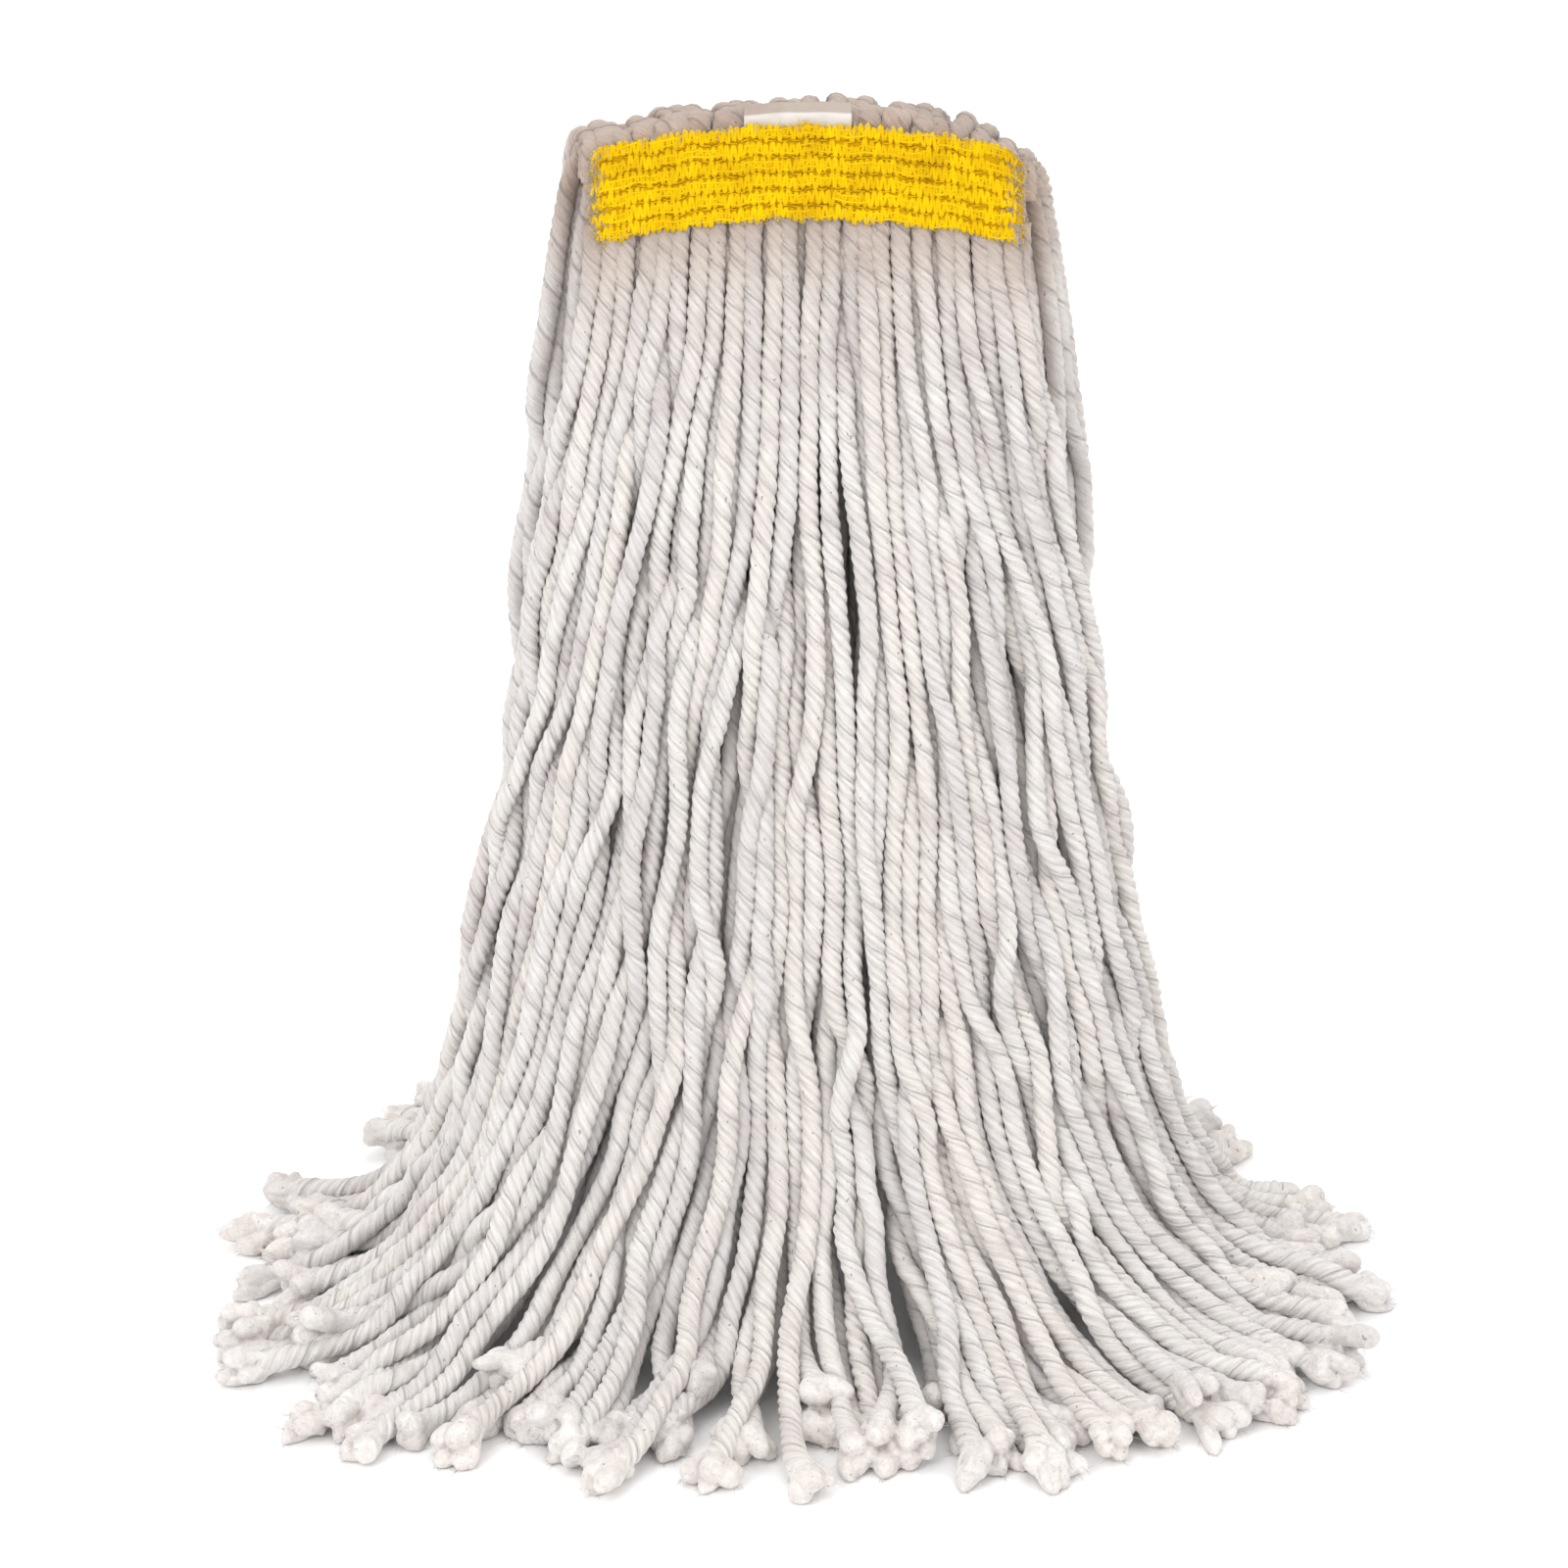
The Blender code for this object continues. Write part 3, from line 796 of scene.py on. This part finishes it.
def add_tufts(batch, fuzz, ends, directions, tints):
    """The untwisted plies at each cut end, swollen and clinging together, with loose fibres round them."""
    lobes = PLIES + 2
    count = len(ends) * lobes
    end, along = np.repeat(ends, lobes, axis=0), np.repeat(directions, lobes, axis=0)
    tint = np.repeat(tints, lobes)
    lobe = np.tile(np.arange(lobes), len(ends))
    heart = lobe >= PLIES
    side = unit(np.cross(along, [0, 0, 1.0]))
    up = np.cross(side, along)
    angle = np.repeat(rng.uniform(0, math.tau, len(ends)), lobes) + lobe * math.pi / 2
    angle += rng.normal(0, 0.3, count)
    out = side * np.cos(angle)[:, None] + up * np.sin(angle)[:, None]
    heading = unit(along + rng.uniform(0.0, 0.44, count)[:, None] * out + np.array([0, 0, -0.12]))
    length = np.where(heart, rng.uniform(0.0100, 0.0140, count), rng.uniform(0.0110, 0.0180, count))
    shape = (count, 15, 12)  # each tube's rings and sides
    t = (1 - np.cos(np.linspace(0, math.pi, shape[1]))) / 2
    curl = rng.normal(0, 0.0022, (count, 1, 3))
    base = end - along * 0.0085 + out * (YARN * np.where(heart, 0.12, 0.26))[:, None]
    lines = base[:, None] + heading[:, None] * (length[:, None] * t)[..., None] + curl * (t**2)[:, None]
    swell = np.where(heart, rng.uniform(0.0036, 0.0047, count), rng.uniform(0.0031, 0.0045, count))[:, None]
    opening = clamp(t / 0.6) ** 1.3
    tip = np.sqrt(np.clip(1 - (clamp(t - 0.72) / 0.28) ** 2, 0.004, 1))
    radius = lerp(0.0022, swell, opening) * tip
    on_floor(lines, radius * 0.72)
    lumps = 1 + 0.13 * smooth_lumps(shape, 2) + 0.04 * smooth_lumps(shape, 1)
    points = on_floor(round_tubes(lines, radius[..., None] * lumps, shape[2]))
    per_tube = {"groove": 0.0, "tint": tint[:, None, None], "painted_shade": 0.0}
    batch.add(points, per_tube, length, rng.uniform(0, 9, (count, 1, 1)))
    add_fibres(fuzz, lines, radius, tint, 15)


def add_fibres(batch, lines, radius, tint, each):
    """Fine loose fibres standing off swollen plies."""
    own = np.repeat(np.arange(len(lines)), each)
    k = rng.integers(3, lines.shape[1] - 1, len(own))
    out = unit(rng.normal(0, 1, (len(own), 3)))
    along = unit(lines[own, k] - lines[own, k - 2])
    start = lines[own, k] + out * radius[own, k][:, None] * 0.7
    reach = rng.uniform(0.002, 0.0055, len(own))[:, None, None]
    t = np.linspace(0, 1, 5)[:, None]
    curl = rng.normal(0, 0.0014, (len(own), 1, 3))
    paths = start[:, None] + (out * 0.55 + along * 0.6)[:, None] * reach * t + curl * t**2
    add_threads(batch, paths, 0.00008, tint[own])


def add_threads(batch, paths, radius, tint):
    """Hair-thin tapering threads along paths, kept above the floor."""
    on_floor(paths, FLOOR_GAP + 0.0001)
    taper = radius * (1.15 - np.linspace(0, 1, paths.shape[1]))[:, None]
    points = round_tubes(paths, taper, 3, unit(np.array([0.3, 0.2, 0.9])))
    batch.add(points, {"groove": 0.0, "tint": tint[:, None, None], "painted_shade": 0.0}, line_lengths(paths))


# ---------------------------------------------------------------- sections of yarns on their hinges

JOINTS = {joint["child"]: joint for joint in frame["joints"]}


def cross_hinge(obj, side, body):
    """Bends a piece between the head and its section, along the yarns' way past the hinge."""
    x, y, z = JOINTS[body]["pos_m"]
    if side == "front":
        start, end = (x, y, z + 0.007), (x, y, z - 0.032)
    else:
        start, end = (x, y - 0.0095, z + 0.013), (x, y + 0.0065, z - 0.020)
    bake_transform(obj, "head", body, start=start, end=end)


def make_yarns(*materials):
    """All half yarns, settled together and then made section by section."""
    lines = add_wander(np.concatenate([smooth_lines(half_yarn_knots(side), NODES) for side in SIDES]))
    radii = np.concatenate([yarn_radii(side) for side in SIDES])
    lines = settle(lines, radii, 90)
    for side, own in zip(SIDES, np.split(lines, len(SIDES))):
        for section, columns in zip(SECTIONS, np.split(np.arange(COLUMNS), len(SECTIONS))):
            make_section(side, section, own.reshape(LAYERS, COLUMNS, NODES, 3)[:, columns], *materials)


def make_section(side, section, lines, material, tuft_material, fibre_material):
    """The yarns of one swinging section: six made one by one, the others joined by layer."""
    body = f"{side}_{section}"
    nodes = [f"lock_{body}_{layer}_{i + 1}" for layer, n in (("outer", 4), ("inner", 3)) for i in range(n)]
    tufts, fuzz, tuft_ends, tuft_tints = Batch(), Batch(), [], []
    for layer, chosen in enumerate(lines):
        sides, spacing = (16, 0.0013) if layer < 2 else (12, 0.0016)
        points, groove, painted_shade, centres = yarn_rings(chosen, side, sides, spacing, LAYER_SHADE[layer])
        shift = rng.uniform(0, 9, (len(chosen), 1, 1))
        tints = rng.uniform(0, 1, len(chosen))
        ends = centres[:, -1]
        add_tufts(tufts, fuzz, ends, unit(ends - centres[:, -6]), tints)
        tuft_ends.append(ends)
        tuft_tints.append(tints)
        group = Batch()
        for i, length in enumerate(line_lengths(chosen)):
            declared = layer == 0 and i < CORDS_PER_SECTION
            batch = Batch() if declared else group
            attributes = {"groove": groove, "tint": tints[i], "painted_shade": painted_shade[i]}
            batch.add(points[i:i + 1], attributes, [length], shift[i])
            if declared:
                yarn = batch.make(f"yarn_{body}_{i + 1}", material)
                cross_hinge(yarn, side, body)
                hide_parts(nodes[i])
                path = centres[i]
                tuple(path[0])
                round(float(line_lengths(path)), 3)
        bundle = group.make(f"yarns_{body}_layer_{layer + 1}", material)
        cross_hinge(bundle, side, body)
        if layer == 0:
            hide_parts(nodes[CORDS_PER_SECTION])
    size = 0.00065 if side == "front" else 0.00085
    tuft_ends, tuft_tints = np.concatenate(tuft_ends), np.concatenate(tuft_tints)
    attach(fused(tufts, f"cut_ends_{body}", tuft_material, size, tuft_tints, tuft_ends), body, "cotton_yarn")
    attach(fuzz.make(f"loose_fibres_{body}", fibre_material), body, "cotton_yarn")


# ---------------------------------------------------------------- sewn head

def make_core(material):
    """The sewn middle of every yarn, between the two tapes."""
    batch = Batch()
    for layer in range(LAYERS):
        y = HEAD_Y + lerp(-0.0062, 0.0062, layer / (LAYERS - 1))
        x = COLUMN_X * 0.98 + PITCH * (0.2 if layer % 2 else -0.2)
        z = np.linspace(BAND_BOTTOM + 0.003, BAND_TOP - 0.004, 14) + arch(x)[:, None]
        centres = np.stack(np.broadcast_arrays(x[:, None], y, z), axis=-1)
        across, over = frames_along(centres)
        lobe = np.arange(12) * math.tau / 12
        hollow = 1 - np.abs(np.cos(2 * lobe))
        profile = 1 - 0.16 * hollow
        twist = (z[..., None] - BAND_BOTTOM) * math.tau / LAY_LENGTH
        angle = lobe + twist + rng.uniform(0, 6, (COLUMNS, 1, 1))
        points = centres[:, :, None] + across[:, :, None] * (0.0029 * profile * np.cos(angle))[..., None]
        points = points + over[:, :, None] * (0.0017 * profile * np.sin(angle))[..., None]
        tint = rng.uniform(0, 1, (COLUMNS, 1, 1))
        # The whole core gets full painted shade, and its ply hollows get painted shade through groove.
        batch.add(points, {"groove": hollow ** 2, "tint": tint, "painted_shade": 1.0}, np.full(COLUMNS, 0.026))
    attach(batch.make("sewn_yarn_core", material), "head", "cotton_yarn", "yarn_mat_folded")


def tape_point(x, height, side, lift):
    """A point on a tape's outer side. The ends turn into the head, droop and lose a little height."""
    share = np.abs(x / BAND_HALF)
    sag = 0.0011 * clamp((share - 0.93) / 0.07) ** 2 * clamp(0.5 - height / BAND_HEIGHT)
    if side == "front":
        face, inward = FRONT_FACE, 1
        tuck = 0.0040 * clamp((x / BAND_HALF - 0.80) / 0.2) ** 2
    else:
        face, inward = REAR_FACE, -1
        tuck = 1.2 * fold_drop(x) + 0.001  # it stays under the fold
    tuck = tuck * clamp(0.5 + height / BAND_HEIGHT) ** 2
    ripple = 0.00035 * np.sin(x * 310 + height * 90) + 0.00022 * np.sin(x * 670 + 1.3)
    y = face + inward * (0.0008 + 0.0026 * share**7 - lift)
    z = BAND_MIDDLE + arch(x) + height - sag - tuck + ripple
    return np.stack(np.broadcast_arrays(x, y, z), axis=-1)


def rib_height(height):
    """Height of the ribs' rounded tops over the grooves between them."""
    return RIB_RELIEF * np.abs(np.sin((height / BAND_HEIGHT + 0.5) * RIBS * math.pi)) ** 0.7


def closed_cloth(name, outer, inner, material, attributes, flip):
    """A thin closed piece between two grids of points of the same shape."""
    rows, columns, _ = outer.shape
    grid = np.arange(rows * columns).reshape(rows, columns)
    rim = np.concatenate([grid[:-1, 0], grid[-1, :-1], grid[:0:-1, -1], grid[0, :0:-1]])
    after = np.roll(rim, -1)
    face = np.stack([grid[:-1, :-1], grid[1:, :-1], grid[1:, 1:], grid[:-1, 1:]], -1).reshape(-1, 4)
    edge = np.stack([rim, rim + grid.size, after + grid.size, after], -1)
    quads = np.concatenate([face, face[:, ::-1] + grid.size, edge])
    points = np.concatenate([outer.reshape(-1, 3), inner.reshape(-1, 3)])
    return add_mesh(name, points, quads[:, ::-1] if flip else quads, material, attributes)


def make_tape(side, material, loop_material, lint_material):
    """A knitted tape: a thin ribbed ground cloth under the winding and laid threads of its ribs."""
    end = BAND_HALF - 0.0012
    x, share = np.meshgrid(np.linspace(-end, end, 230), np.linspace(-0.5, 0.5, 61), indexing="ij")
    height = share * (BAND_HEIGHT - 0.0022)
    rib = rib_height(height)
    outer = tape_point(x, height, side, rib - 0.0008)
    inner = tape_point(x, height, side, -0.0017)
    # Painted shade in the grooves between ribs, and over the whole inner side.
    groove = np.concatenate([(1 - rib / RIB_RELIEF).ravel(), np.ones(rib.size)])
    attributes = {"groove": groove, "tint": groove * 0}
    cloth = closed_cloth(f"tape_{side}_ground", outer, inner, material, attributes, side == "rear")
    attach(cloth, "head", "band_tape", f"head_band_{side}")
    loops = make_loops(side, loop_material)
    frays = make_frays(side, loop_material, lint_material)


def make_loops(side, material):
    """One thick thread winding up and down each rib, and thinner threads laid along it."""
    last = BAND_HALF - 0.0016
    turns = int(2 * last / STITCH)
    count = turns * 6
    rib, turn = np.meshgrid(np.arange(RIBS), np.arange(turns), indexing="ij")
    middle = (rib + 0.5) * RIB_PITCH - BAND_HEIGHT / 2
    worn = clamp((np.abs(turn * STITCH - last) / BAND_HALF - 0.955) / 0.04)
    swing = np.where((turn + rib) % 2, -1, 1) * (LOOP_HEIGHT + rng.normal(0, 0.00045, turn.shape))
    height = middle + swing * (1 - 0.3 * worn) + rng.normal(0, 0.00012, turn.shape)
    along = (turn + rng.uniform(-0.32, 0.32, turn.shape)) * STITCH - last
    knots = np.stack([along, height, rng.uniform(0, 0.0004, turn.shape)], axis=-1)
    x, height, over = np.moveaxis(smooth_lines(knots, count), 2, 0)
    lines = tape_point(x, height, side, rib_height(height) * 0.55 + over - 0.00065)
    thick = LOOP_THREAD * (1 + 0.16 * smooth_noise(RIBS, count, turns))
    points = round_tubes(lines, thick[..., None], 8, (0.0, 1.0, 0.0))
    # Painted shade on the parts of the winding thread that lie low.
    low = clamp(0.55 - over / 0.0004)[..., None]
    tint = (0.5 + 0.5 * smooth_noise(RIBS, count, turns // 2))[..., None]
    batch = Batch()
    batch.add(points, {"groove": low, "tint": tint}, line_lengths(lines))
    add_laid_threads(batch, side, last)
    loops = batch.make(f"tape_{side}_loops", material)
    attach(loops, "head", "band_tape")
    return loops


def add_laid_threads(batch, side, last):
    """Two thin wavy threads along each rib, in pieces that dive under the winding thread."""
    count, points = RIBS * 2 * LAID_PIECES, 26
    row, piece = np.divmod(np.arange(count), LAID_PIECES)
    middle = ((row // 2 + 0.5) * RIB_PITCH - BAND_HEIGHT / 2 + np.where(row % 2, 0.0010, -0.0010))[:, None]
    step = 2 * last / LAID_PIECES
    start = piece[:, None] * step - last + rng.uniform(0, 0.3, (count, 1)) * step
    reach = step * rng.uniform(0.45, 1.25, (count, 1))
    x = np.minimum(start + reach * np.linspace(0, 1, points), last)
    height = middle + 0.00028 * smooth_noise(count, points, 7)
    arc = np.sin(math.pi * np.linspace(0.02, 0.98, points)) ** 0.4
    lift = rib_height(height) * 0.55 - 0.0006 + 0.00062 * arc + 0.00026 * smooth_noise(count, points, 9)
    lines = tape_point(x, height, side, lift)
    rings = round_tubes(lines, LAID_THREAD * rng.uniform(0.8, 1.2, (count, 1, 1)), 6, (0.0, 0.0, 1.0))
    batch.add(rings, {"groove": 0.0, "tint": rng.uniform(0.3, 1, (count, 1, 1))}, line_lengths(lines))


def make_frays(side, tape_material, lint_material):
    """Cut threads of the tape's ends and edges, and cotton lint caught among its loops."""
    kinds = (
        ("frays", 170, 0.75, tape_material, 0.00018, "band_tape"),
        ("lint", 520, 0.5, lint_material, 0.00012, "cotton_yarn"),
    )
    made = []
    for name, count, at_ends, material, thick, slot in kinds:
        edge = rng.uniform(0, 1, count) < at_ends
        end = np.sign(rng.uniform(-1, 1, count))
        inside = BAND_HALF - np.abs(rng.normal(0, 0.0030, count)) - 0.0008
        x = np.where(edge, end * inside, rng.uniform(-0.98, 0.98, count) * BAND_HALF)
        upper = np.sign(rng.uniform(-1, 1, count))
        along_edge = upper * (BAND_HEIGHT / 2 - np.abs(rng.normal(0, 0.0008, count)))
        height = np.where(edge, rng.uniform(-0.52, 0.48, count) * BAND_HEIGHT, along_edge)
        outward = rng.normal(0, 1.0, count) + np.where(end > 0, 0, math.pi)
        angle = np.where(edge, outward, rng.uniform(0, 6.3, count))
        t = np.linspace(0, 1, 6)
        reach = rng.uniform(0.0012, 0.0032, count)[:, None] * t
        heading = angle[:, None] + rng.normal(0, 0.8, count)[:, None] * t
        path_x = np.clip(x[:, None] + reach * np.cos(heading), -BAND_HALF - 0.002, BAND_HALF + 0.002)
        lift = 0.0006 + rng.uniform(0, 0.0008, count)[:, None] * t
        paths = tape_point(path_x, height[:, None] + reach * np.sin(heading), side, lift)
        batch = Batch()
        add_threads(batch, paths, thick, rng.uniform(0, 1, count))
        piece = batch.make(f"tape_{side}_{name}", material)
        attach(piece, "head", slot)
        made.append(piece)
    return made


def make_seams(material):
    """Lockstitch rows: short threads dipping into the groove at each needle hole."""
    t = np.linspace(0, 1, 8)
    for side in SIDES:
        for row in range(1, RIBS):
            node = f"seam_{side}_{row}"
            lo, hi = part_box(node)
            stitch = np.arange(int((hi.x - lo.x) / SEAM_STITCH))[:, None]
            x = lo.x + (stitch + 0.08 + 0.84 * t) * SEAM_STITCH
            height = row * RIB_PITCH - BAND_HEIGHT / 2 + 0.0002 * np.sin(900 * x)
            dip = np.broadcast_to(np.sin(math.pi * t) ** 0.5, x.shape)
            lines = tape_point(x, height, side, 0.0006 * dip - 0.0006)
            points = round_tubes(lines, SEAM_THREAD, 8, (0.0, 0.0, 1.0))
            batch = Batch()
            # Painted shade where the thread dips into the groove.
            batch.add(points, {"groove": (1 - dip)[..., None], "tint": 0.4}, line_lengths(lines))
            attach(batch.make(f"stitches_{side}_{row}", material), "head", "seam_thread", node)


def make_tag(material):
    """A blank ribbon tag: its front lip stands above the tape and its fold leans back on the yarn."""
    lo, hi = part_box("label_tag")
    rise = np.array([-0.0055, -0.003, 0.0, 0.0018, 0.0030, 0.0034, 0.0040, 0.0049, 0.0057, 0.0061, 0.0058])
    lean = np.array([0.0, 0.0, -0.0001, -0.0002, 0.0, 0.0005, 0.0008, 0.0013, 0.0019, 0.0026, 0.0034])
    s = way_along(np.stack([rise, lean], axis=-1))
    rows = 34
    even = np.linspace(0, s[-1], rows)
    up_row, back_row = np.interp(even, s, rise), np.interp(even, s, lean)
    x, k = np.meshgrid(np.linspace(lo.x, hi.x, 60), np.arange(rows), indexing="ij")
    up, back = up_row[k], back_row[k]
    wave = 0.00025 * np.sin((x - lo.x) * 120 + 0.5) + 0.00012 * np.sin((x - lo.x) * 420 + 2 + k * 0.05)
    loose = clamp((up + 0.001) / 0.006)
    skew = 0.0012 * (x - lo.x) / (hi.x - lo.x) - 0.0006
    y = lo.y + 0.0002 + back + wave * loose
    outer = np.stack([x, y, BAND_TOP + arch(x) + up + (wave + skew) * loose], -1)
    normal = unit(np.stack([np.gradient(up_row), -np.gradient(back_row)], -1))[k]
    inner = outer + np.stack([0 * x, normal[..., 0], normal[..., 1]], -1) * (hi.y - lo.y) * 0.8
    # Painted shade on the lip past the fold; the back stays unshaded.
    painted_lip_shade = np.concatenate([clamp((up - 0.0029) / 0.0004).ravel(), np.zeros(up.size)])
    tag = closed_cloth("blank_tag", outer, inner, material, {"painted_shade": painted_lip_shade}, False)
    attach(tag, "head", "tag_cloth", "label_tag")


# ---------------------------------------------------------------- build

make_camera()
yarn = yarn_material("cotton_yarn_twisted", (0.80, 0.78, 0.76), (0.69, 0.655, 0.645), 0.5)
fibre = yarn_material("cotton_loose_fibres", (0.88, 0.855, 0.835), (0.80, 0.765, 0.75), 0.0)
tuft = yarn_material("cotton_cut_ends", (0.845, 0.815, 0.795), (0.765, 0.72, 0.70), 1.0, twisted=False)
make_yarns(yarn, tuft, fibre)
make_core(yarn)
ground = tape_material("yellow_ground", (0.76, 0.47, 0.0), (0.60, 0.34, 0.0), 0.8)
knit = tape_material("yellow_knit", (0.83, 0.545, 0.0), (0.72, 0.44, 0.0), 0.5)
for tape_side in SIDES:
    make_tape(tape_side, ground, knit, fibre)
make_seams(tape_material("seam_yellow", (0.72, 0.44, 0.0), (0.56, 0.32, 0.0), 0.7))
make_tag(tag_material())
make_studio()
make_floor()
